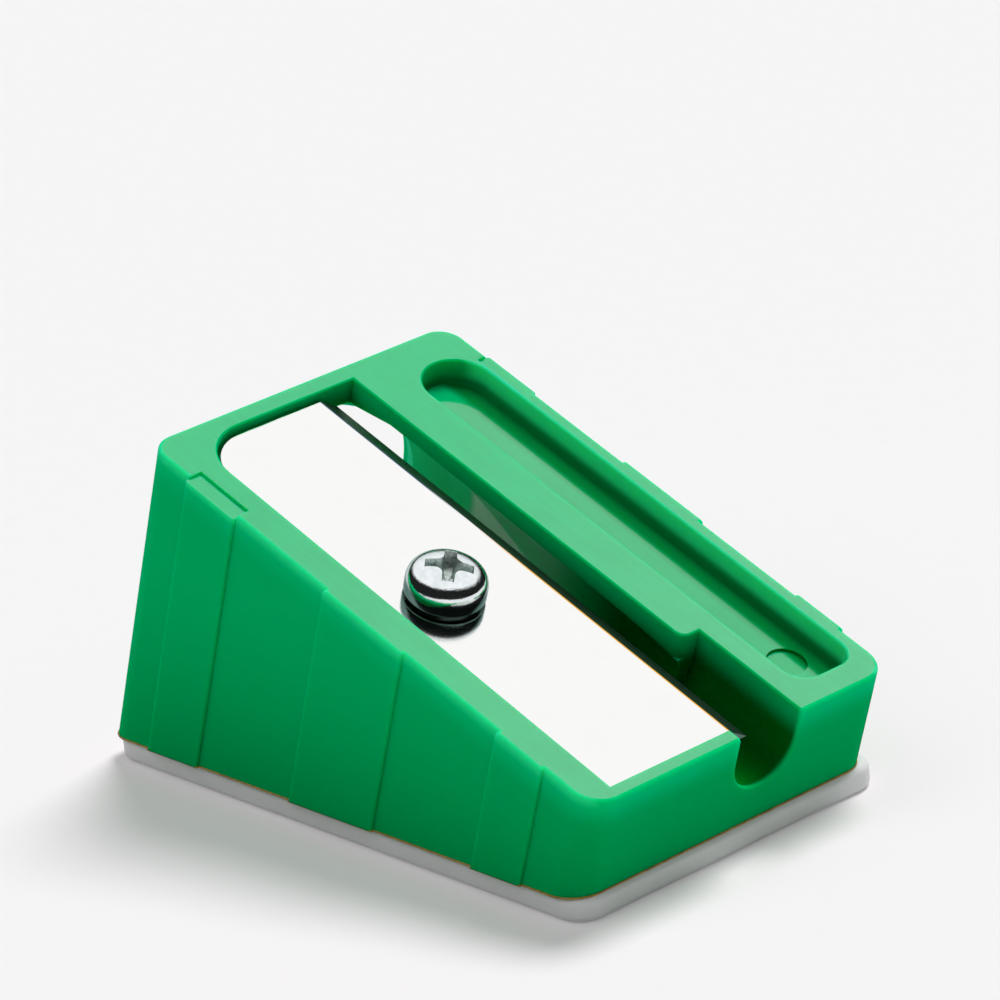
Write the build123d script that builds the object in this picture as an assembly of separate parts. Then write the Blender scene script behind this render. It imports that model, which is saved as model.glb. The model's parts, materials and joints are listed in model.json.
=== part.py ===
"""Wedge-shaped pencil sharpener: moulded body, ground blade, pan-head screw and base plate.

The body is laid out in its moulding frame: U runs along the sloping deck from its rear edge to
its front edge, V across it, and W stands at right angles to it. Every wall, pocket and grip band
is drawn along W, and only the base is cut at the wedge angle. The finished pieces are then stood
on the base, with +X from the tall end to the low end and +Z up.
"""
from build123d import *
from math import cos, radians, sin, tan
import os

# Blade, measured from its screw hole
blade_length = 24.0
blade_thickness = 0.57
blade_hole_to_back = 2.35
blade_hole_to_edge = 4.85
blade_bevel_width = 0.92
blade_corner_radius = 2.1
blade_tip_radius = 0.2

# How the blade lies in its seat
blade_sink = 0.31
blade_skew = 0.45
blade_rear_gap = 0.2
blade_front_gap = 0.1
blade_side_gap = 0.11
blade_seat_gap = 0.02

# Body: the rims round the blade, the slot and the side pocket make the deck as large as it is
rear_rim = 0.9
front_rim = 0.7
blade_rim = 1.56
rear_height = 14.65
wedge_angle = 21.2
rear_corner_radius = 1.05
front_corner_radius = 1.25
deck_edge_radius = 0.18

# Grip bands: the rear one starts behind the rear edge, the front one ends before the front edge
rear_band_start = 2.5
rear_band_width = 2.9
middle_band_width = 4.6
front_band_end = 2.75
front_band_width = 2.6
band_rise = 0.15
band_edge_radius = 0.12
band_mark_depth = 0.12
band_mark_reach = 0.66

# Screw
head_radius = 1.62
head_height = 1.5
head_shoulder_radius = 0.85
head_seat_gap = 0.02
shank_radius = 1.1
shank_length = 5.6
shank_point = 0.5
shank_clearance = 0.06
screw_hole_spare_depth = 0.6

# Pencil bore: a guide, the cutting cone in front of it and a wide oblique mouth behind it
pencil_hole_radius = 4.1
bore_past_edge = 0.15
cut_depth = 0.2
cone_start_u = 3.3
cone_end_radius = 0.35
guide_length = 2.2
mouth_radius = 5.45
mouth_offset = 0.04
mouth_depth = 6.75

# Chip slot beside the cutting edge and the groove that opens it to the front
slot_gap = 1.02
slot_under_blade = 0.65
slot_depth = 1.15
groove_length = 5.7
groove_width = 3.18
groove_past_slot = 0.9
groove_depth = 2.94
groove_step_radius = 0.45

# Long side pocket, cored out beside the slot's wall
slot_wall = 2.04
pocket_width = 3.08
pocket_side_wall = 0.63
pocket_rear_wall = 1.81
pocket_front_wall = 1.27
pocket_depth = 1.08
pocket_front_radius = 0.95
pocket_floor_radius = 0.2
pocket_rim_radius = 0.1
ejector_from_end = 2.07
ejector_radius = 0.82
ejector_depth = 0.12

# Base plate
plate_thickness = 1.05
plate_left_margin = 0.1
plate_right_margin = 0.46
plate_rear_inset = 0.02
plate_front_reach = 0.15
plate_corner_radius = 1.2
plate_edge_radius = 0.3

# Worked out from the sizes above
wedge = radians(wedge_angle)
half_cone = wedge / 2
skew = radians(blade_skew)
blade_width = blade_hole_to_back + blade_hole_to_edge
width_beside_slot = slot_wall + pocket_width + pocket_side_wall
half_width = (blade_rim + blade_side_gap + blade_width + slot_gap + width_beside_slot) / 2
rear_pocket_u = rear_rim
screw_u = rear_pocket_u + blade_rear_gap + blade_length / 2
front_pocket_u = screw_u + blade_length / 2 + blade_front_gap
deck_length = front_pocket_u + front_rim
footprint = deck_length / cos(wedge)
seat_depth = blade_sink + blade_thickness + blade_seat_gap
screw_v = blade_rim + blade_side_gap + blade_hole_to_back - half_width
edge_v = screw_v + blade_hole_to_edge
bore_v = edge_v + bore_past_edge
bore_roof_w = cut_depth - blade_sink - blade_thickness
slot_right_v = edge_v + slot_gap
slot_left_v = edge_v - slot_under_blade
slot_end_u = deck_length - groove_length
groove_right_v = slot_right_v + groove_past_slot
groove_left_v = groove_right_v - groove_width
pocket_left_v = slot_right_v + slot_wall
pocket_right_v = half_width - pocket_side_wall
pocket_rear_u = pocket_rear_wall
pocket_front_u = deck_length - pocket_front_wall
trim = 2.0
level_tolerance = 0.0001

grip_bands = (
    (rear_band_start, rear_band_start + rear_band_width),
    ((deck_length - middle_band_width) / 2, (deck_length + middle_band_width) / 2),
    (deck_length - front_band_end - front_band_width, deck_length - front_band_end),
)

# The deck, as it lies once the sharpener stands on its base plate
deck = Plane(
    origin=(rear_height * sin(wedge), 0, plate_thickness + rear_height * cos(wedge)),
    x_dir=(cos(wedge), 0, -sin(wedge)),
    z_dir=(sin(wedge), 0, cos(wedge)),
)

# The pencil's axis meets the cone's large end here and leans half the cone's angle off the deck
cone_start = Vector(
    cone_start_u + pencil_hole_radius * sin(half_cone),
    bore_v,
    bore_roof_w - pencil_hole_radius * cos(half_cone),
)
pencil_direction = Vector(cos(half_cone), 0, sin(half_cone))

UPWARDS = (Align.CENTER, Align.CENTER, Align.MIN)
DOWNWARDS = (Align.CENTER, Align.CENTER, Align.MAX)


def top_edges(solid, level=0.0):
    """Edges that lie flat at one height of the moulding frame."""
    return [
        edge
        for edge in solid.edges()
        if abs(edge.bounding_box().min.Z - level) < level_tolerance
        and abs(edge.bounding_box().max.Z - level) < level_tolerance
    ]


def upright_edges_at(solid, u, v):
    """Edges along W that stand over one point of the deck."""
    return [
        edge
        for edge in solid.edges().filter_by(Axis.Z)
        if abs(edge.center().X - u) < 1e-3 and abs(edge.center().Y - v) < 1e-3
    ]


def block(low, high):
    """Box between two opposite corners."""
    size = [b - a for a, b in zip(low, high)]
    return Pos(*low) * Box(*size, align=(Align.MIN, Align.MIN, Align.MIN))


def sunk(sketch, depth):
    """Cutting tool with the sketch's outline, from clear above the deck down to a depth."""
    return extrude(Pos(0, 0, trim) * sketch, amount=-(depth + trim))


def make_wedge_blank():
    """Outer walls with rounded corners, grip bands and a softened deck rim, before the base cut."""
    depth = rear_height + trim
    blank = block((0, -half_width, -depth), (deck_length, half_width, 0))
    corners = blank.edges().filter_by(Axis.Z).sort_by(Axis.X)
    blank = fillet(corners[:2], rear_corner_radius)
    corners = blank.edges().filter_by(Axis.Z).sort_by(Axis.X)
    blank = fillet(corners[-2:], front_corner_radius)
    for start, end in grip_bands:
        side = half_width + band_rise
        band = block((start, -side, -depth), (end, side, 0))
        blank += fillet(band.edges().filter_by(Axis.Z), band_edge_radius)
    return fillet(top_edges(blank), deck_edge_radius)


def make_band_marks():
    """Shallow steps in the deck where the first grip band reaches it, one on each side."""
    start, end = grip_bands[0]
    outside = half_width + band_rise + trim
    left = block((start, -outside, -band_mark_depth), (end, band_mark_reach - half_width, trim))
    right_start = pocket_right_v + pocket_rim_radius
    right = block((start, right_start, -band_mark_depth), (end, outside, trim))
    return left + right


def left_wall_v(u, distance):
    """Where a line beside the skewed blade lies, at a distance from the screw's axis."""
    return screw_v - distance / cos(skew) - (u - screw_u) * tan(skew)


def make_blade_pocket():
    """Sunk seat for the blade, open to the chip slot along the cutting edge."""
    wall = blade_hole_to_back + blade_side_gap
    rear_left = (rear_pocket_u, left_wall_v(rear_pocket_u, wall))
    outline = Polyline(
        (rear_pocket_u, slot_right_v),
        rear_left,
        (front_pocket_u, left_wall_v(front_pocket_u, wall)),
        (front_pocket_u, slot_right_v),
        close=True,
    )
    seat = sunk(make_face(outline), seat_depth)
    return fillet(upright_edges_at(seat, *rear_left), blade_corner_radius + blade_side_gap)


def make_chip_slot():
    """Narrow slot beside the cutting edge, down into the bore."""
    return block((rear_pocket_u, slot_left_v, -slot_depth), (slot_end_u, slot_right_v, trim))


def make_front_groove():
    """Round-bottomed groove that lets the point and the chips out at the front."""
    radius = groove_width / 2
    middle = groove_left_v + radius
    walls = block(
        (slot_end_u, groove_left_v, radius - groove_depth),
        (deck_length + trim, groove_right_v, trim),
    )
    length = deck_length + trim - slot_end_u
    bottom = Cylinder(radius, length, rotation=(0, 90, 0), align=UPWARDS)
    return walls + Pos(slot_end_u, middle, radius - groove_depth) * bottom


def make_pencil_bore():
    """Mouth, guide and cutting cone, all on the pencil's inclined axis."""
    forward = Plane(origin=cone_start, x_dir=(0, 1, 0), z_dir=pencil_direction)
    guide = Cylinder(pencil_hole_radius, guide_length, align=DOWNWARDS)
    cone_length = (pencil_hole_radius - cone_end_radius) / tan(half_cone)
    cone = Cone(pencil_hole_radius, cone_end_radius, cone_length, align=UPWARDS)
    guide_rear = Plane(
        origin=cone_start - pencil_direction * guide_length,
        x_dir=(0, 1, 0),
        z_dir=pencil_direction,
    )
    rear_face = Plane(
        origin=(0, bore_v + mouth_offset, -mouth_depth),
        x_dir=(0, 1, 0),
        z_dir=(1, 0, 0),
    )
    mouth = loft([rear_face * Circle(mouth_radius), guide_rear * Circle(pencil_hole_radius)])
    return forward.location * (guide + cone) + mouth


def make_side_pocket():
    """Long cored pocket beside the bore: round at the rear, with a filleted floor."""
    half = pocket_width / 2
    middle = pocket_left_v + half
    outline = Polyline(
        (pocket_rear_u + half, pocket_right_v),
        (pocket_front_u, pocket_right_v),
        (pocket_front_u, pocket_left_v),
        (pocket_rear_u + half, pocket_left_v),
    )
    rear_end = ThreePointArc(
        (pocket_rear_u + half, pocket_left_v),
        (pocket_rear_u, middle),
        (pocket_rear_u + half, pocket_right_v),
    )
    pocket = sunk(make_face(outline + rear_end), pocket_depth)
    corners = upright_edges_at(pocket, pocket_front_u, pocket_right_v)
    corners += upright_edges_at(pocket, pocket_front_u, pocket_left_v)
    pocket = fillet(corners, pocket_front_radius)
    pocket = fillet(top_edges(pocket, -pocket_depth), pocket_floor_radius)
    mark = Cylinder(ejector_radius, 2 * ejector_depth)
    return pocket + Pos(pocket_front_u - ejector_from_end, middle, -pocket_depth) * mark


def make_screw_hole():
    """Blind hole for the screw, deeper than its point."""
    depth = seat_depth + shank_length + screw_hole_spare_depth
    hole = Cylinder(shank_radius + shank_clearance, depth, align=DOWNWARDS)
    return Pos(screw_u, screw_v, 0) * hole


def make_body():
    """Moulded wedge in its moulding frame, then cut to the base plane."""
    body = make_wedge_blank()
    body -= make_side_pocket()
    body -= make_blade_pocket() + make_chip_slot()
    body -= make_front_groove()
    step = upright_edges_at(body, slot_end_u, slot_right_v)
    body = fillet(step, groove_step_radius)
    body = fillet(inner_rims(body), pocket_rim_radius)
    body -= make_band_marks()
    body -= make_screw_hole()
    body -= make_pencil_bore()
    stood = deck.location * body
    return split(stood, bisect_by=Plane.XY.offset(plate_thickness), keep=Keep.TOP)


def inner_rims(body):
    """Deck edges round the pockets, away from the deck's outer rim."""
    reach = half_width - deck_edge_radius
    return [
        edge
        for edge in top_edges(body)
        if abs(edge.center().Y) < reach - pocket_rim_radius
        and deck_edge_radius + pocket_rim_radius < edge.center().X < deck_length - deck_edge_radius
    ]


def make_blade():
    """Flat steel blade with a ground cutting bevel, in the deck's frame."""
    half = blade_length / 2
    outline = Polyline(
        (-half, -blade_hole_to_back),
        (half, -blade_hole_to_back),
        (half, blade_hole_to_edge),
        (-half, blade_hole_to_edge),
        close=True,
    )
    blade = extrude(make_face(outline), amount=-blade_thickness)
    blade = fillet(upright_edges_at(blade, -half, -blade_hole_to_back), blade_corner_radius)
    tips = upright_edges_at(blade, half, -blade_hole_to_back)
    blade = fillet(tips, blade_tip_radius)
    bevel = Polyline(
        (blade_hole_to_edge - blade_bevel_width, 0),
        (blade_hole_to_edge, -blade_thickness),
        (blade_hole_to_edge + trim, -blade_thickness),
        (blade_hole_to_edge + trim, trim),
        (blade_hole_to_edge - blade_bevel_width, trim),
        close=True,
    )
    section = Plane(origin=(-half - trim, 0, 0), x_dir=(0, 1, 0), z_dir=(1, 0, 0))
    blade -= extrude(section * make_face(bevel), amount=blade_length + 2 * trim)
    blade -= Cylinder(shank_radius + shank_clearance, 4 * blade_thickness)
    return Pos(screw_u, screw_v, -blade_sink) * Rot(0, 0, -blade_skew) * blade


def make_screw():
    """Pan-head screw with a plain pointed shank, in the deck's frame."""
    head = Cylinder(head_radius, head_height, align=UPWARDS)
    head = fillet(top_edges(head, head_height), head_shoulder_radius)
    shank = Cylinder(shank_radius, shank_length, align=DOWNWARDS)
    shank = chamfer(top_edges(shank, -shank_length), shank_point)
    return Pos(screw_u, screw_v, head_seat_gap - blade_sink) * (head + shank)


def make_base_plate():
    """Thin plate under the body, a little proud of it at the front and on the right."""
    low = (plate_rear_inset, plate_left_margin - half_width, 0)
    high = (footprint + plate_front_reach, half_width + plate_right_margin, plate_thickness)
    plate = block(low, high)
    plate = fillet(plate.edges().filter_by(Axis.Z), plate_corner_radius)
    return fillet(top_edges(plate) + top_edges(plate, plate_thickness), plate_edge_radius)


def main():
    """Stand the pieces on the plate, centre them and write one file for each."""
    pieces = {
        "body": make_body(),
        "blade": deck.location * make_blade(),
        "blade_screw": deck.location * make_screw(),
        "base_plate": make_base_plate(),
    }
    box = Compound(list(pieces.values())).bounding_box()
    centred = Pos(-box.center().X, -box.center().Y, -box.min.Z)
    os.makedirs("parts", exist_ok=True)
    for name, piece in pieces.items():
        export_step(centred * piece, f"parts/{name}.step")
    places = {
        "deck's rear edge": (0, 0, 0),
        "guide's rear end": cone_start - pencil_direction * guide_length,
        "cone's large end": cone_start,
        "screw's seat": (screw_u, screw_v, -blade_sink),
    }
    print("overall size", box.size)
    for name, place in places.items():
        print(name, (centred * deck.location * Pos(place)).position)


main()
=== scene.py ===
# %% [markdown]
# # A wedge pencil sharpener
#
# The solids of the sharpener come in as a fixed frame, at their real size in metres. This lesson
# dresses them: it finishes the moulded plastic, the ground blade and the base plate, and makes
# the small things the solids leave plain, which are the screw's cross recess and thread and the
# glue line under the body. Nothing that came in with the frame is moved.

# %% Load the frame
import json
from math import atan, cos, degrees, pi, radians, sin

import bmesh
import bpy
from mathutils import Matrix, Vector


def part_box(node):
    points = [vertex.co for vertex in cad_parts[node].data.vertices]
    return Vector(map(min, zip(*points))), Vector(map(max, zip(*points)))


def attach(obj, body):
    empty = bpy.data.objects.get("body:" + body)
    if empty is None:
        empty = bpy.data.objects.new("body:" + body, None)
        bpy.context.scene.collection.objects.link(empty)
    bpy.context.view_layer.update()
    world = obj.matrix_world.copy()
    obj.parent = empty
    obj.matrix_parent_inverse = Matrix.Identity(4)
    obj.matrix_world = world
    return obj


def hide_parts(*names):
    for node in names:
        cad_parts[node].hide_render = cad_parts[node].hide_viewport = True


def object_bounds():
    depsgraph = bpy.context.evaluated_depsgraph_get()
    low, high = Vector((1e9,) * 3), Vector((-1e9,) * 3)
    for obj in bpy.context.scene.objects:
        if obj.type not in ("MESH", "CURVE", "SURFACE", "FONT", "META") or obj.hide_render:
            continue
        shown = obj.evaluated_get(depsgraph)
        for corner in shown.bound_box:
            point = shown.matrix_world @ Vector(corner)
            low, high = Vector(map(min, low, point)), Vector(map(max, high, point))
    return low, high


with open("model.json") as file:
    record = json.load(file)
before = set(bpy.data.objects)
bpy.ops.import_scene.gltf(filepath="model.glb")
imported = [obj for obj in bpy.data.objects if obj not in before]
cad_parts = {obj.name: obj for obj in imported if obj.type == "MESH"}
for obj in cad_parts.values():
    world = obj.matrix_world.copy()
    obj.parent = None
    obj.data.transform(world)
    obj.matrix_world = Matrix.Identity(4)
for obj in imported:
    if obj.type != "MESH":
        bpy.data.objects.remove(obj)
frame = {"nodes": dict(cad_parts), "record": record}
scene = bpy.context.scene
solid_low, solid_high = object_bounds()
MM = 0.001
print("solids span", [round((b - a) / MM, 2) for a, b in zip(solid_low, solid_high)], "mm")

# %% [markdown]
# ## The deck
#
# The body leans: its deck slopes down to the front, and everything on it is drawn square to that
# slope. The screw's joint carries the slope's direction, so the deck frame is built from it:
# `along` runs down the slope, `across` goes from the blade towards the side pocket, and `out`
# stands at right angles to the deck. Their middle is under the screw's head, level with the
# blade's top.

# %% The deck's directions and the screw's place
joints = {joint["name"]: joint for joint in frame["record"]["behaviour"]["joints"]}
out = Vector(joints["screw_turn"]["axis"]).normalized()
across = Vector((0, 1, 0))
along = across.cross(out)
screw_seat = Vector(joints["screw_turn"]["pos_m"])
deck = Matrix((along, across, out)).transposed().to_4x4()
deck.translation = screw_seat
print("the deck slopes by", round(degrees(atan(out.x / out.z)), 2), "degrees")

# %% [markdown]
# ## Shader maths that reads like maths
#
# A material is a tree of nodes, and arithmetic on its values takes one Math node for each
# operation. `Value` wraps a socket and overloads Python's operators, so that an expression adds
# those nodes by itself. `Nodes` adds any other node to a tree in one call, and `Finish` is the
# tree of one material, with the patterns that the finishes here share.

# %% A shader value
class Value:
    def __init__(self, nodes, socket):
        self.nodes = nodes
        self.socket = socket

    def math(self, operation, other):
        return self.nodes.node("Math", {"operation": operation}, numbered=(self, other))

    def __add__(self, other):
        return self.math("ADD", other)

    def __mul__(self, other):
        return self.math("MULTIPLY", other)

    def __sub__(self, other):
        return self.math("SUBTRACT", other)

    def __rsub__(self, other):
        return self * -1 + other

    __radd__ = __add__
    __rmul__ = __mul__

    def rises(self, start, end):
        """0 up to start, 1 past end, and a smooth step between them, either way round."""
        settings = {"interpolation_type": "SMOOTHSTEP"}
        return self.nodes.node("MapRange", settings, Value=self, From_Min=start, From_Max=end)

    def spans(self, low, high):
        """A value that is low at 0 and high at 1."""
        return low + self * (high - low)


print("shader values ready")

# %% A tree of nodes
class Nodes:
    def __init__(self, tree):
        self.tree = tree
        tree.nodes.clear()

    def feed(self, socket, value):
        if isinstance(value, Value):
            self.tree.links.new(value.socket, socket)
        else:
            socket.default_value = value

    def node(self, kind, settings=None, output=0, numbered=(), **inputs):
        """Adds a node: first its settings, then its inputs in order or by name, _ for a space."""
        node = self.tree.nodes.new(f"ShaderNode{kind}")
        for key, setting in (settings or {}).items():
            setattr(node, key, setting)
        for place, value in enumerate(numbered):
            self.feed(node.inputs[place], value)
        for key, value in inputs.items():
            self.feed(node.inputs[key.replace("_", " ")], value)
        return Value(self, node.outputs[output])

    def parts(self, vector):
        """The three numbers of a vector."""
        split = self.node("SeparateXYZ", Vector=vector).socket.node
        return [Value(self, socket) for socket in split.outputs]

    def measure(self, operation, *vectors):
        """One number from vectors, such as a length or a dot product."""
        return self.node("VectorMath", {"operation": operation}, "Value", vectors)

    def blend(self, share, first, second):
        """Mixes two shaders."""
        return self.node("MixShader", numbered=(share, first, second))

    def end(self, kind, shader):
        self.feed(self.tree.nodes.new(f"ShaderNode{kind}").inputs["Surface"], shader)


print("node helpers ready")

# %% A finish
class Finish(Nodes):
    def __init__(self, name):
        self.material = bpy.data.materials.new(name)
        self.material.use_nodes = True
        super().__init__(self.material.node_tree)

    def mixed(self, mask, first, second):
        """Mixes two colours by a mask."""
        mix = self.node("Mix", {"data_type": "RGBA"}, numbered=(mask,)).socket.node
        colour_a, colour_b = mix.inputs[6:8]
        self.feed(colour_a, first)
        self.feed(colour_b, second)
        return Value(self, mix.outputs[2])

    def deck_place(self):
        """Place in millimetres from the screw's seat: along, across and out of the deck."""
        return self.node(
            "Mapping",
            {"vector_type": "TEXTURE"},
            Vector=self.node("TexCoord", output="Object"),
            Location=screw_seat,
            Rotation=deck.to_euler(),
            Scale=(MM, MM, MM),
        )

    def outward(self):
        """1 where the surface faces straight out of the deck, and less as it turns away."""
        return self.measure("DOT_PRODUCT", self.node("TexCoord", output="Normal"), out)

    def noise(self, place, scale, detail, stretch=(1, 1, 1)):
        """Noise between 0 and 1; stretch makes its grain longer along an axis."""
        squeezed = self.node("Mapping", Vector=place, Scale=tuple(1 / s for s in stretch))
        return self.node("TexNoise", Vector=squeezed, Scale=scale, Detail=detail)

    def bump(self, height):
        """A surface normal from a height in millimetres."""
        return self.node("Bump", Height=height, Distance=MM, Strength=1.0)

    def output(self, shader):
        self.end("OutputMaterial", shader)
        return self.material

    def surface(self, **inputs):
        return self.output(self.node("BsdfPrincipled", **inputs))


print("a finish measures from the screw at", [round(x / MM, 2) for x in screw_seat], "mm")

# %% [markdown]
# ## The moulded plastic
#
# The body is injection moulded in one strong green. The mould's flat top plate is polished, so
# the deck and the pocket floors mirror the room, while the walls drew along the tool and came
# out satin. A coat that follows the surface's direction gives both from one material: full where
# the surface faces out of the deck, and none on the walls. Fine moulding grain, faint tool lines
# along the deck and a little unevenness in colour keep it from looking like paint.
#
# The pocket, the slot and the bore lose light the deeper they go, and the walls near them tint
# each other. That shade and light are painted into the colour, as are the shade at the feet of
# the outer walls and the light on their top edges: each such place is a region with a colour of
# its own. A region is a mask that rises from 0 to 1 between two places on the deck, which the
# pairs below give in millimetres. Heights are out from the blade's top, and depths are down from
# the rims.

# %% The body's regions
DECK_TOP = 0.31
LEVEL_FACING = (0.97, 0.995)
RIM_ENDS = ((-12.4, -12.2), (12.75, 12.55))
RIM_SIDES = ((-2.75, -2.55), (11.3, 11.1))
DECK_LENGTH = (-11.0, 12.0)
WALL_RISE = (0.0, 10.0)
BRINK_DEPTH = (1.5, 0.0)
LEFT_EDGE_DEPTH, LEFT_EDGE_SIDE = (0.5, 0.0), (-3.4, -3.8)
SUNK_HEIGHT = (-0.2, -0.5)
POLISH_HEIGHT = (-1.4, -1.1)
SHADE_DEPTH = (0.3, 1.5)
POCKET_FOOT, FOOT_SHADE = (10.2, 9.6), 0.2
POCKET_WALL_DEPTH, POCKET_WALL_SIDE = (1.0, 0.5), (10.5, 10.9)
BORE_DEPTH, BORE_FRONT = (1.4, 2.0), (3.5, -1.0)
BORE_LIGHT = 0.85
GUIDE_FRONT, CONE_REAR = -7.7, -7.0
CONE_SHEEN, CONE_SHEEN_FADE = 0.38, (0.6, -2.6)


def within(value, *steps):
    """1 inside all the steps, which each rise towards the inside."""
    mask = value.rises(*steps[0])
    for step in steps[1:]:
        mask = mask * value.rises(*step)
    return mask


def body_regions(finish, place):
    """Masks of the moulded body, each 1 on its own region."""
    along_deck, across_deck, height = finish.parts(place)
    above_floor = finish.parts(finish.node("TexCoord", output="Object"))[2] * (1 / MM)
    depth = DECK_TOP - height
    level = finish.outward().rises(*LEVEL_FACING)
    polished = level * height.rises(*POLISH_HEIGHT)
    inside = within(across_deck, *RIM_SIDES) * within(along_deck, *RIM_ENDS)
    bored = inside * depth.rises(*BORE_DEPTH) * along_deck.rises(*BORE_FRONT)
    cone = along_deck.rises(GUIDE_FRONT, CONE_REAR)
    open_floor = polished * (across_deck.rises(*POCKET_FOOT) - FOOT_SHADE)
    deep = inside * depth.rises(*SHADE_DEPTH)
    painted_left_edge = depth.rises(*LEFT_EDGE_DEPTH) * across_deck.rises(*LEFT_EDGE_SIDE)
    pocket_side = across_deck.rises(*POCKET_WALL_SIDE) * depth.rises(*POCKET_WALL_DEPTH)
    return {
        "polished": polished,
        "sunk": height.rises(*SUNK_HEIGHT),
        "bored": bored,
        "cone": cone,
        "front": along_deck.rises(*DECK_LENGTH),
        # Painted shade on the outer walls near the floor, and painted light on their top edges.
        "painted wall shade rise": above_floor.rises(*WALL_RISE),
        "painted brink light": depth.rises(*BRINK_DEPTH) * (1 - inside),
        # Painted shade deep in the pocket, the slot and the bore.
        "shade": deep * (1 - open_floor) * (1 - bored * BORE_LIGHT),
        # Painted light on the faces along the deck's left edge.
        "painted left edge light": painted_left_edge * (1 - polished),
        # A painted sheen on the cone inside the bore.
        "painted cone sheen": bored * cone * along_deck.rises(*CONE_SHEEN_FADE) * CONE_SHEEN,
        # Painted light in the bore's guide.
        "guide": bored * along_deck.rises(CONE_REAR, GUIDE_FRONT),
        # Painted light on the pocket's far wall.
        "painted pocket wall light": inside * pocket_side * (1 - level),
    }


print("the body's regions are masks of its own coordinates")

# %% Green plastic
# Wall colours: painted shade at the walls' feet, and painted light on their top edges.
SHADED_WALL_FOOT = (0.0, 0.395, 0.100, 1)
WALL_TOP = (0.0, 0.54, 0.158, 1)
WALL_BRINK_PAINTED_LIGHT = (0.0, 0.66, 0.230, 1)
DECK_DEEP = (0.0, 0.495, 0.175, 1)
DECK_PALE = (0.0, 0.555, 0.198, 1)
# Painted shade deep in the cavities; painted light on the left edge, in the bore's guide and on
# the pocket's far wall; a painted sheen on the cone.
REGION_COLOURS = {
    "shade": (0.0, 0.12, 0.006, 1),
    "painted left edge light": (0.02, 0.80, 0.32, 1),
    "painted cone sheen": (0.5, 0.95, 0.75, 1),
    "guide": (0.0, 0.74, 0.29, 1),
    "painted pocket wall light": (0.03, 0.80, 0.36, 1),
}
DECK_MIRROR = (0.48, 0.68)  # at the rear and at the front
POCKET_MIRROR = (0.62, 0.48)
BORE_MIRROR = (0.03, 0.23)  # in the guide and in the cone
SATIN = (0.42, 0.52)
POLISH, LINE_ROUGHNESS = 0.20, 0.06
GRAIN_HEIGHT, LINE_HEIGHT = 0.004, 0.0016


def green_plastic():
    finish = Finish("green_plastic")
    place = finish.deck_place()
    region = body_regions(finish, place)
    polished = region["polished"]
    clouds = finish.noise(place, 0.35, detail=3)
    grain = finish.noise(place, 9.0, detail=2)
    tool_lines = finish.noise(place, 5.0, detail=4, stretch=(12, 1, 1))

    # Painted shade and light: the walls darken towards the floor, and their top edges are painted
    # lighter.
    walls = finish.mixed(region["painted wall shade rise"], SHADED_WALL_FOOT, WALL_TOP)
    walls = finish.mixed(region["painted brink light"], walls, WALL_BRINK_PAINTED_LIGHT)
    streaks = clouds * 0.5 + tool_lines * 0.5
    top = finish.mixed(streaks.rises(0.3, 0.7), DECK_DEEP, DECK_PALE)
    base = finish.mixed(polished, walls, top)
    for name, colour in REGION_COLOURS.items():
        base = finish.mixed(region[name], base, colour)

    deck_mirror = region["front"].spans(*DECK_MIRROR)
    pocket_mirror = region["front"].spans(*POCKET_MIRROR)
    mirror = deck_mirror + region["sunk"] * (pocket_mirror - deck_mirror)
    bore_mirror = region["bored"] * region["cone"].spans(*BORE_MIRROR)
    polished_lines = tool_lines * polished
    return finish.surface(
        Base_Color=base,
        Roughness=grain.spans(*SATIN) - polished * POLISH + polished_lines * LINE_ROUGHNESS,
        Coat_Weight=polished * mirror + bore_mirror,
        Coat_Roughness=0.07,
        Coat_IOR=2.5,
        Normal=finish.bump(
            grain * GRAIN_HEIGHT * (1 - polished) + polished_lines * LINE_HEIGHT
        ),
        Subsurface_Weight=1.0,
        Subsurface_Radius=(0.1, 0.8, 0.45),
        Subsurface_Scale=0.8 * MM,
        Specular_IOR_Level=0.0,
    )


plastic = green_plastic()
print("made", plastic.name)

# %% [markdown]
# ## The ground blade
#
# The blade is hardened strip steel, ground flat and then ground again on a slant along its
# cutting edge. A flat face that smooth mirrors the white room, with the faint lines of the
# grinding wheel across it. The slant is ground coarser, and its dark green colour is a painted
# reflection of the dark slot beside it. It keeps a thin line of straw colour along its upper
# edge, where the heat of grinding tinted the steel. Towards the rear that line turns dark blue.

# %% Blade steel
BEVEL_SKEW = 0.0078
BEVEL_ACROSS = 3.930
BEVEL_FACING = (0.97, 0.90)
STEEL_DEEP = (0.93, 0.928, 0.918, 1)
STEEL_PALE = (0.955, 0.95, 0.94, 1)
STRAW = (0.93, 0.47, 0.05, 1)
BLUED = (0.03, 0.08, 0.14, 1)
SLANT_PAINTED_REFLECTION = (0.10, 0.17, 0.14, 1)
STRAW_FADE, BLUED_FADE = (-3.5, 1.0), (-3.0, -6.0)


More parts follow.
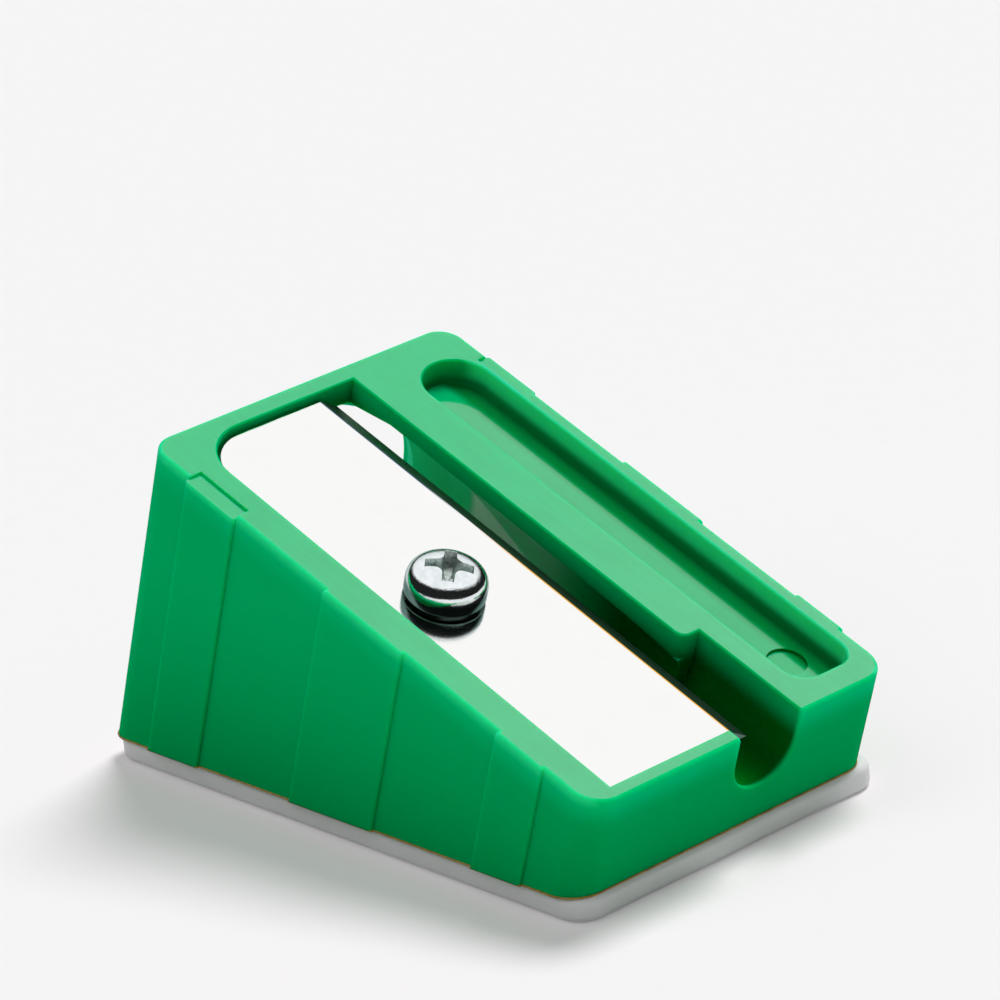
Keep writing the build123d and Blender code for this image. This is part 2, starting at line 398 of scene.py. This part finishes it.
def blade_steel():
    finish = Finish("blade_steel")
    place = finish.deck_place()
    along_deck, across_deck, _ = finish.parts(place)
    past_edge = across_deck + along_deck * BEVEL_SKEW - BEVEL_ACROSS
    slant = finish.outward().rises(*BEVEL_FACING) * past_edge.rises(-0.1, 0.0)
    warmed = past_edge.rises(-0.09, -0.03)

    clouds = finish.noise(place, 0.5, detail=3)
    wheel_lines = finish.noise(place, 16.0, detail=3, stretch=(1, 12, 1))
    scratches = finish.noise(place, 5.0, detail=4, stretch=(20, 1, 1))
    tone = clouds * 0.5 + wheel_lines * 0.5
    base = finish.mixed(tone.rises(0.25, 0.75), STEEL_DEEP, STEEL_PALE)
    base = finish.mixed(warmed * along_deck.rises(*STRAW_FADE), base, STRAW)
    base = finish.mixed(warmed * along_deck.rises(*BLUED_FADE), base, BLUED)
    # Painted reflection: the slant's dark green colour stands for the dark slot it mirrors.
    base = finish.mixed(slant, base, SLANT_PAINTED_REFLECTION)
    return finish.surface(
        Base_Color=base,
        Metallic=1.0,
        Roughness=0.07 + wheel_lines * 0.04 + clouds * 0.03 + slant * 0.25,
        Normal=finish.bump(wheel_lines * 0.0012 + scratches * 0.0006),
    )


steel = blade_steel()
print("made", steel.name)

# %% [markdown]
# ## The grey base
#
# The base plate is a second moulding, in a pale grey plastic with a matt grain. It is left a
# little rough so that it takes no sharp highlight.

# %% Grey plastic
def grey_plastic():
    finish = Finish("grey_plastic")
    place = finish.deck_place()
    grain = finish.noise(place, 7.0, detail=3)
    clouds = finish.noise(place, 0.4, detail=2)
    return finish.surface(
        Base_Color=finish.mixed(
            clouds.rises(0.3, 0.7), (0.86, 0.86, 0.865, 1), (0.90, 0.90, 0.905, 1)
        ),
        Roughness=0.45 + grain * 0.12,
        Normal=finish.bump(grain * 0.006),
    )


grey = grey_plastic()
print("made", grey.name)

# %% [markdown]
# ## Dressing the solids
#
# The body, the blade and the base plate have the right shapes already, so each keeps its own
# mesh and only takes a finish into its material slots.

# %% Put the finishes on
def dress(node, material):
    """Gives every material slot of a solid one finish."""
    mesh = frame["nodes"][node].data
    if not mesh.materials:
        mesh.materials.append(material)
    for slot in range(len(mesh.materials)):
        mesh.materials[slot] = material
    print(node, "wears", material.name)


dress("body", plastic)
dress("blade", steel)
dress("base_plate", grey)

# %% [markdown]
# ## The screw
#
# One small pan-head screw holds the blade. Its solid has no recess and no thread, so this piece
# stands for it. The head and the core of the shank have one outline turned round the screw's
# axis, which is what a lathe does, so they are spun. The recess is pressed in by a tapered cross
# punch, so the cutter is that punch, and a Boolean takes it out of the head.

# %% Small making helpers
SHARP_ANGLE = radians(35)


def new_object(name, builder, material=None):
    """Closes a bmesh into a named object in the scene."""
    mesh = bpy.data.meshes.new(name)
    builder.to_mesh(mesh)
    builder.free()
    thing = bpy.data.objects.new(name, mesh)
    scene.collection.objects.link(thing)
    if material:
        mesh.materials.append(material)
    return thing


def made_solid(thing):
    """Turns modifiers into a plain mesh with smooth faces and sharp corners."""
    evaluated = thing.evaluated_get(bpy.context.evaluated_depsgraph_get())
    mesh = bpy.data.meshes.new_from_object(evaluated)
    thing.modifiers.clear()
    thing.data = mesh
    mesh.shade_smooth()
    mesh.set_sharp_from_angle(angle=SHARP_ANGLE)


print("making helpers ready")

# %% [markdown]
# The screw is plated bright. Its flank carries a painted dark reflection, the gap under its foot
# is painted shade, and the pressed cross is rougher than what was turned.

# %% Plated and pressed steel
PLATING_DEEP = (0.76, 0.82, 0.83, 1)
PLATING_PALE = (0.88, 0.91, 0.93, 1)
FLANK_PAINTED_REFLECTION = (0.13, 0.21, 0.19, 1)
GAP_PAINTED_SHADE = (0.04, 0.06, 0.05, 1)
EDGE_TINT = (0.45, 0.55, 0.53, 1)
FLANK_FADE, GAP_FADE = (0.92, 0.56), (0.172, 0.166)


def plated_steel():
    finish = Finish("plated_steel")
    place = finish.deck_place()
    height = finish.parts(place)[2]
    head = height.rises(-0.3, 0.0)
    clouds = finish.noise(place, 2.5, detail=3)
    pitting = finish.noise(place, 14.0, detail=2)
    base = finish.mixed(clouds.rises(0.35, 0.65), PLATING_DEEP, PLATING_PALE)
    # Painted reflection: the flank is darkened as the dark surroundings it mirrors.
    base = finish.mixed(height.rises(*FLANK_FADE) * head, base, FLANK_PAINTED_REFLECTION)
    # Painted shade in the gap under the head's foot.
    base = finish.mixed(height.rises(*GAP_FADE) * head, base, GAP_PAINTED_SHADE)
    return finish.surface(
        Base_Color=base,
        Metallic=1.0,
        Roughness=0.07 + clouds * 0.06,
        Specular_Tint=EDGE_TINT,
        Normal=finish.bump(pitting * 0.004 + clouds * 0.012),
    )


def pressed_steel():
    finish = Finish("pressed_steel")
    grain = finish.noise(finish.deck_place(), 8.0, detail=3)
    return finish.surface(
        Base_Color=finish.mixed(
            grain.rises(0.3, 0.7), (0.46, 0.55, 0.52, 1), (0.82, 0.90, 0.865, 1)
        ),
        Metallic=1.0,
        Roughness=0.30 + grain * 0.14,
        Normal=finish.bump(grain * 0.012),
    )


plating = plated_steel()
pressing = pressed_steel()
print("made", plating.name, "and", pressing.name)

# %% Turn the screw's outline
HEAD_RADIUS = 1.62
HEAD_HEIGHT = 1.5
FLANK_TOP = 0.56
DOME_POWER = 0.80
DOME_STEPS = 24
# The foot is cut back under the flank, as (radius, height)
FOOT = ((HEAD_RADIUS, 0.20), (1.612, 0.178), (1.59, 0.168), (1.42, 0.16), (1.42, 0.0))
CORE_RADIUS = 0.86
SHANK_LENGTH = 5.6
POINT = ((CORE_RADIUS, -5.05), (0.6, -5.4), (0.0, -SHANK_LENGTH))
TURNING_STEPS = 96
WELD = 1e-5


def head_outline():
    """Outline points (radius, height) from the top of the dome down to the screw's point."""
    dome = []
    for step in range(DOME_STEPS + 1):
        turn = pi / 2 * (1 - step / DOME_STEPS)
        radius = HEAD_RADIUS * cos(turn) ** DOME_POWER if step else 0.0
        height = FLANK_TOP + (HEAD_HEIGHT - FLANK_TOP) * sin(turn) ** DOME_POWER
        dome.append((radius, height))
    return [*dome, *FOOT, (CORE_RADIUS, 0.0), *POINT]


def turned(name, outline, material):
    """Spins an outline round the screw's axis."""
    builder = bmesh.new()
    points = [builder.verts.new((radius, 0, height)) for radius, height in outline]
    edges = [builder.edges.new(pair) for pair in zip(points, points[1:])]
    bmesh.ops.spin(
        builder,
        geom=points + edges,
        axis=(0, 0, 1),
        cent=(0, 0, 0),
        steps=TURNING_STEPS,
        angle=2 * pi,
    )
    bmesh.ops.remove_doubles(builder, verts=builder.verts, dist=WELD)
    bmesh.ops.recalc_face_normals(builder, faces=builder.faces)
    return new_object(name, builder, material)


screw = turned("screw", head_outline(), plating)
print("turned", len(screw.data.polygons), "faces")

# %% Press in the cross recess
ARM_REACH = 0.97
ARM_HALF_WIDTH = 0.235
RECESS_DEPTH = 0.95
RECESS_TURN = radians(44.5)
ABOVE_HEAD = 0.1
CORNER_STEPS = 6
SOFT_WIDTH = 0.035
SOFT_ANGLE = radians(38)
PUNCH_LEVELS = (  # height, arm reach, arm half width, corner radius
    (HEAD_HEIGHT + ABOVE_HEAD, ARM_REACH + 0.03, ARM_HALF_WIDTH + 0.03, 0.34),
    (HEAD_HEIGHT - 0.50, ARM_REACH - 0.12, ARM_HALF_WIDTH - 0.05, 0.26),
    (HEAD_HEIGHT - RECESS_DEPTH + 0.12, 0.46, 0.16, 0.12),
)


def cross_ring(reach, half_width, corner):
    """Outline of a cross with rounded inner corners, as points round its middle."""
    ring = []
    centre = half_width + corner
    for quarter in range(4):
        turn = Matrix.Rotation(quarter * pi / 2, 2)
        points = [Vector((reach, half_width))]
        for step in range(CORNER_STEPS + 1):
            angle = -pi / 2 - step / CORNER_STEPS * pi / 2
            points.append(
                Vector((centre + corner * cos(angle), centre + corner * sin(angle)))
            )
        points.append(Vector((half_width, reach)))
        ring += [turn @ point for point in points]
    return ring


def cross_punch():
    """A tapered cross: one ring for each level, and a point at both ends."""
    builder = bmesh.new()
    rings = [
        [builder.verts.new((*point, height)) for point in cross_ring(reach, half, corner)]
        for height, reach, half, corner in PUNCH_LEVELS
    ]
    for upper, lower in zip(rings, rings[1:]):
        for at in range(len(upper)):
            after = (at + 1) % len(upper)
            builder.faces.new((upper[at], upper[after], lower[after], lower[at]))
    tip = builder.verts.new((0, 0, HEAD_HEIGHT - RECESS_DEPTH))
    top = builder.verts.new((0, 0, HEAD_HEIGHT + ABOVE_HEAD))
    for ring, end in ((rings[-1], tip), (rings[0], top)):
        for at in range(len(ring)):
            builder.faces.new((ring[at], ring[(at + 1) % len(ring)], end))
    bmesh.ops.rotate(
        builder, verts=builder.verts, matrix=Matrix.Rotation(RECESS_TURN, 3, "Z")
    )
    bmesh.ops.recalc_face_normals(builder, faces=builder.faces)
    return new_object("cross_punch", builder, pressing)


punch = cross_punch()
pressed = screw.modifiers.new("recess", "BOOLEAN")
pressed.operation = "DIFFERENCE"
pressed.solver = "EXACT"
pressed.material_mode = "TRANSFER"
pressed.object = punch
softened = screw.modifiers.new("softened_corners", "BEVEL")
softened.width = SOFT_WIDTH
softened.segments = 2
softened.limit_method = "ANGLE"
softened.angle_limit = SOFT_ANGLE
made_solid(screw)
bpy.data.objects.remove(punch)
screw.data.transform(deck @ Matrix.Scale(MM, 4))
print("screw has", len(screw.data.polygons), "faces")

# %% [markdown]
# ## The screw's thread
#
# A thread follows a rule: one ridge climbs round the core by the same pitch at every turn. A
# Geometry Nodes tree says just that. It draws a spiral, lets the ridge grow from the screw's
# point, and sweeps a diamond along it, half of which is buried in the core.

# %% Helpers for a tree that makes geometry
def group_tree(name, sizes):
    """An empty Geometry Nodes tree with an input for each named size, and its two end nodes."""
    tree = bpy.data.node_groups.new(name, "GeometryNodeTree")
    tree.interface.new_socket("Geometry", in_out="INPUT", socket_type="NodeSocketGeometry")
    for size in sizes:
        kind = "NodeSocketInt" if isinstance(sizes[size], int) else "NodeSocketFloat"
        tree.interface.new_socket(size, in_out="INPUT", socket_type=kind)
    tree.interface.new_socket("Geometry", in_out="OUTPUT", socket_type="NodeSocketGeometry")
    start = tree.nodes.new("NodeGroupInput")
    end = tree.nodes.new("NodeGroupOutput")
    return tree, start, end


def add_node(tree, kind, settings=None, **inputs):
    """Adds a Geometry node. An input is a value or another node's output socket."""
    node = tree.nodes.new(kind)
    for key, setting in (settings or {}).items():
        setattr(node, key, setting)
    for key, value in inputs.items():
        socket = node.inputs[key.replace("_", " ")]
        if isinstance(value, bpy.types.NodeSocket):
            tree.links.new(value, socket)
        else:
            socket.default_value = value
    return node


def run_tree(thing, tree, sizes):
    """Puts the tree on an object, gives it its sizes by socket, and makes a plain mesh."""
    modifier = thing.modifiers.new(tree.name, "NODES")
    modifier.node_group = tree
    for item in tree.interface.items_tree:
        if item.in_out == "INPUT" and item.name in sizes:
            modifier[item.identifier] = sizes[item.name]
    made_solid(thing)


def sweep(tree, curve, corners, radius, material, end, caps=False):
    """Sweeps a ring of a few corners along a curve, and ends the tree with it."""
    ring = add_node(tree, "GeometryNodeCurvePrimitiveCircle", Resolution=corners, Radius=radius)
    swept = add_node(
        tree,
        "GeometryNodeCurveToMesh",
        Curve=curve,
        Profile_Curve=ring.outputs[0],
        Fill_Caps=caps,
    )
    whole = add_node(tree, "GeometryNodeRealizeInstances", Geometry=swept.outputs[0])
    finished = add_node(
        tree, "GeometryNodeSetMaterial", Geometry=whole.outputs[0], Material=material
    )
    tree.links.new(finished.outputs[0], end.inputs[0])


print("tree helpers ready")

# %% Cut the thread
THREAD = {"Turns": 6.0, "Height": 4.8, "Spiral Radius": 0.84, "Ridge": 0.26, "Steps": 40}
THREAD_START = -SHANK_LENGTH + 0.45
POINT_SHARE, GROWN_AT = 0.35, 0.10


def thread_tree(material):
    tree, start, end = group_tree("thread", THREAD)
    size = start.outputs
    spiral = add_node(
        tree,
        "GeometryNodeCurveSpiral",
        Resolution=size["Steps"],
        Rotations=size["Turns"],
        Start_Radius=size["Spiral Radius"],
        End_Radius=size["Spiral Radius"],
        Height=size["Height"],
    )
    along_curve = add_node(tree, "GeometryNodeSplineParameter")
    fade = add_node(
        tree,
        "ShaderNodeMapRange",
        Value=along_curve.outputs["Factor"],
        From_Max=GROWN_AT,
        To_Min=POINT_SHARE,
    )
    sized = add_node(
        tree,
        "GeometryNodeSetCurveRadius",
        Curve=spiral.outputs[0],
        Radius=fade.outputs["Result"],
    )
    upright = add_node(
        tree, "GeometryNodeSetCurveNormal", {"mode": "Z_UP"}, Curve=sized.outputs[0]
    )
    sweep(tree, upright.outputs[0], 4, size["Ridge"], material, end, caps=True)
    return tree


thread = new_object("screw_thread", bmesh.new())
run_tree(thread, thread_tree(plating), THREAD)
thread.data.transform(
    deck @ Matrix.Scale(MM, 4) @ Matrix.Translation((0, 0, THREAD_START))
)
print("thread has", len(thread.data.polygons), "faces")

# %% [markdown]
# ## The glue line
#
# A thin bead of glue was squeezed out between the body and the base plate, all round. It follows
# the body's own outline, with every step of the grip bands, so its tree is fed the body's mesh.
# It keeps the faces that lie on the seam, draws a curve along their outer rim, holds the curve
# inside the solids' box and sweeps the bead along it.

# %% Dried glue
def dried_glue():
    finish = Finish("dried_glue")
    grain = finish.noise(finish.deck_place(), 3.0, detail=3)
    return finish.surface(
        Base_Color=finish.mixed(
            grain.rises(0.3, 0.7), (0.30, 0.17, 0.02, 1), (0.48, 0.30, 0.06, 1)
        ),
        Roughness=0.35 + grain * 0.2,
        Normal=finish.bump(grain * 0.01),
    )


glue = dried_glue()
print("made", glue.name)

# %% Lay the glue line
SAME_PLACE = 0.001 * MM
GLUE = {"Seam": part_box("base_plate")[1].z, "Bead": 0.045 * MM, "Shortest Rim": 60 * MM}


def outer_rim(tree, place, size):
    """The outline of the faces on the seam, as a curve. Short rims round holes are dropped."""
    level = add_node(tree, "ShaderNodeSeparateXYZ", Vector=place).outputs["Z"]
    off_seam = add_node(
        tree,
        "FunctionNodeCompare",
        {"operation": "NOT_EQUAL"},
        A=level,
        B=size["Seam"],
        Epsilon=SAME_PLACE,
    )
    joined = add_node(
        tree, "GeometryNodeMergeByDistance", Geometry=size["Geometry"], Distance=SAME_PLACE
    )
    sole = add_node(
        tree,
        "GeometryNodeDeleteGeometry",
        {"domain": "FACE"},
        Geometry=joined.outputs[0],
        Selection=off_seam.outputs[0],
    )
    on_rim = add_node(
        tree, "FunctionNodeCompare", {"data_type": "INT", "operation": "EQUAL"}
    )
    face_count, one = [socket for socket in on_rim.inputs if socket.type == "INT"]
    tree.links.new(add_node(tree, "GeometryNodeInputMeshEdgeNeighbors").outputs[0], face_count)
    one.default_value = 1
    rims = add_node(
        tree, "GeometryNodeMeshToCurve", Mesh=sole.outputs[0], Selection=on_rim.outputs[0]
    )
    short = add_node(
        tree,
        "FunctionNodeCompare",
        {"operation": "LESS_THAN"},
        A=add_node(tree, "GeometryNodeSplineLength").outputs["Length"],
        B=size["Shortest Rim"],
    )
    return add_node(
        tree,
        "GeometryNodeDeleteGeometry",
        {"domain": "CURVE"},
        Geometry=rims.outputs[0],
        Selection=short.outputs[0],
    ).outputs[0]


def held_inside(tree, curve, place, low, high):
    """Moves what is past a box back to its sides."""
    after = add_node(tree, "ShaderNodeVectorMath", {"operation": "MAXIMUM"})
    before = add_node(tree, "ShaderNodeVectorMath", {"operation": "MINIMUM"})
    tree.links.new(place, after.inputs[0])
    tree.links.new(after.outputs[0], before.inputs[0])
    after.inputs[1].default_value = low
    before.inputs[1].default_value = high
    return add_node(
        tree, "GeometryNodeSetPosition", Geometry=curve, Position=before.outputs[0]
    ).outputs[0]


def glue_tree(material):
    tree, start, end = group_tree("glue_line", GLUE)
    size = start.outputs
    place = add_node(tree, "GeometryNodeInputPosition").outputs[0]
    inset = Vector([GLUE["Bead"]] * 3)
    rim = outer_rim(tree, place, size)
    held = held_inside(tree, rim, place, solid_low + inset, solid_high - inset)
    sweep(tree, held, 8, size["Bead"], material, end)
    return tree


glue_line = new_object("glue_line", bmesh.new())
glue_line.data = frame["nodes"]["body"].data.copy()
glue_line.data.name = "glue_line"
run_tree(glue_line, glue_tree(glue), GLUE)
print("glue line has", len(glue_line.data.polygons), "faces")

# %% [markdown]
# ## What moves with what
#
# The new screw stands for its solid and turns with it, and its thread goes with it. The glue
# stays on the body.

# %% The screw takes its solid's place
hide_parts("blade_screw")
for thing in (screw, thread):
    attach(thing, "screw")
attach(glue_line, "housing")
print("screw rides on its own body, and the glue line on the housing")

# %% [markdown]
# ## Floor, light and camera
#
# The sharpener stands on a pale sweep, under a large soft light from behind it. That light is a
# wide sun, so it lays a soft shadow in front. A second, wider sun from the front and a faint
# even light from the world keep the near sides from going black. The sweep is matt paper that
# glows a little, so that it meets the pale room behind it without a line. Only rays from the
# camera or off a glossy surface see it so: for all other rays it is duller, which keeps too
# much light from coming back up onto the object.

# %% Paper for the floor
ROOM_GREY = 0.913
ROOM_COLOUR = (ROOM_GREY, ROOM_GREY, ROOM_GREY, 1)
BOUNCE_CANCELLING_TINT = (0.94, 0.885, 0.92, 1)
NEAR_REACH = (0.012, 0.032)
OWN_GLOW = 0.22


def white_paper():
    """Matt paper that glows a little and bounces less light than it shows."""
    finish = Finish("white_paper")
    place = finish.node("TexCoord", output="Object")
    speckle = finish.noise(place, 900.0, detail=2)
    plain = finish.mixed(speckle, (0.905, 0.905, 0.905, 1), (0.925, 0.925, 0.925, 1))
    # Painted light: near the object the paper is tinted pink, to cancel the green light that the
    # body bounces onto it.
    far = finish.measure("LENGTH", place).rises(*NEAR_REACH)
    matt = finish.node("BsdfDiffuse", Color=finish.mixed(far, BOUNCE_CANCELLING_TINT, plain))
    dull = finish.node("BsdfDiffuse", Color=(0.75, 0.75, 0.75, 1))
    lit = finish.node("Emission", Color=ROOM_COLOUR, Strength=1.0)

    straight = finish.node("LightPath", output="Is Camera Ray")
    mirrored = finish.node("LightPath", output="Is Glossy Ray")
    seen = straight.math("MAXIMUM", mirrored)
    return finish.output(finish.blend(seen, dull, finish.blend(OWN_GLOW, matt, lit)))


paper = white_paper()
print("made", paper.name)

# %% The floor
FLOOR_HALF = 1.2
FLOOR_GAP = 0.02 * MM
builder = bmesh.new()
bmesh.ops.create_grid(builder, x_segments=8, y_segments=8, size=FLOOR_HALF)
bmesh.ops.translate(builder, verts=builder.verts, vec=(0, 0, solid_low.z - FLOOR_GAP))
floor = new_object("floor", builder, paper)
print("floor at", round(floor.data.vertices[0].co.z / MM, 3), "mm")

# %% [markdown]
# The world is the rest of the room. The camera sees it plain and pale, and its own light is
# faint. Glossy surfaces see a bright card overhead in a dark room, which gives the metal and
# the polished deck their light and dark parts.

# %% The room's light
scene.view_settings.view_transform = "Standard"
SKY_LIGHT = 0.15
CARD_TOWARDS = (-0.16, 0.30, 0.94)
CARD_EDGE = (0.56, 0.72)
DARK_ROOM = 0.015


def room():
    world = bpy.data.worlds.new("pale_room")
    world.use_nodes = True
    sky = Nodes(world.node_tree)
    even = sky.node("Background", Strength=SKY_LIGHT)
    plain = sky.node("Background", Color=ROOM_COLOUR, Strength=1.0)
    towards_card = sky.measure(
        "DOT_PRODUCT",
        sky.node("TexCoord", output="Generated"),
        Vector(CARD_TOWARDS).normalized(),
    )
    glow = towards_card.rises(*CARD_EDGE).spans(DARK_ROOM, 1.0)
    card = sky.node("Background", Color=(1, 1, 1, 1), Strength=glow)
    straight = sky.node("LightPath", output="Is Camera Ray")
    through = sky.node("LightPath", output="Is Transmission Ray")
    mirrored = sky.node("LightPath", output="Is Glossy Ray")
    unseen = sky.blend(mirrored, even, card)
    sky.end("OutputWorld", sky.blend(straight.math("MAXIMUM", through), unseen, plain))
    return world


scene.world = room()
print("room light", SKY_LIGHT)

# %% The lamps
def wide_sun(name, towards, floor_share, width):
    """A soft sun that adds this share of full light to a level floor; width in degrees."""
    data = bpy.data.lights.new(name, "SUN")
    spread = radians(width)
    towards = Vector(towards).normalized()
    data.energy = floor_share * pi / -towards.z / cos(spread / 2) ** 2
    data.angle = spread
    light = bpy.data.objects.new(name, data)
    light.matrix_world = towards.to_track_quat("-Z", "Y").to_matrix().to_4x4()
    light.visible_glossy = False
    scene.collection.objects.link(light)
    return light


key = wide_sun("key_light", (-0.04, -0.40, -0.885), floor_share=0.66, width=26)
fill = wide_sun("fill_light", (0.0, 0.5, -0.87), floor_share=0.14, width=60)
print("lamp energies", round(key.data.energy, 2), round(fill.data.energy, 2))

# %% The camera
def look(place, forward, up, lens):
    data = bpy.data.cameras.new("camera")
    data.lens = lens
    data.sensor_width = 36
    data.clip_start = 0.01
    data.clip_end = 10
    camera = bpy.data.objects.new("camera", data)
    forward = forward.normalized()
    right = forward.cross(up).normalized()
    aimed = Matrix((right, right.cross(forward), -forward)).transposed().to_4x4()
    aimed.translation = place
    camera.matrix_world = aimed
    scene.collection.objects.link(camera)
    return camera


scene.camera = look(
    place=Vector((165.382, -137.169, 93.784)) * MM,
    forward=Vector((-0.71541, 0.60026, -0.35760)),
    up=Vector((-0.20012, 0.31432, 0.92798)),
    lens=213.79,
)
print("camera", [round(x / MM, 1) for x in scene.camera.location], "mm away")
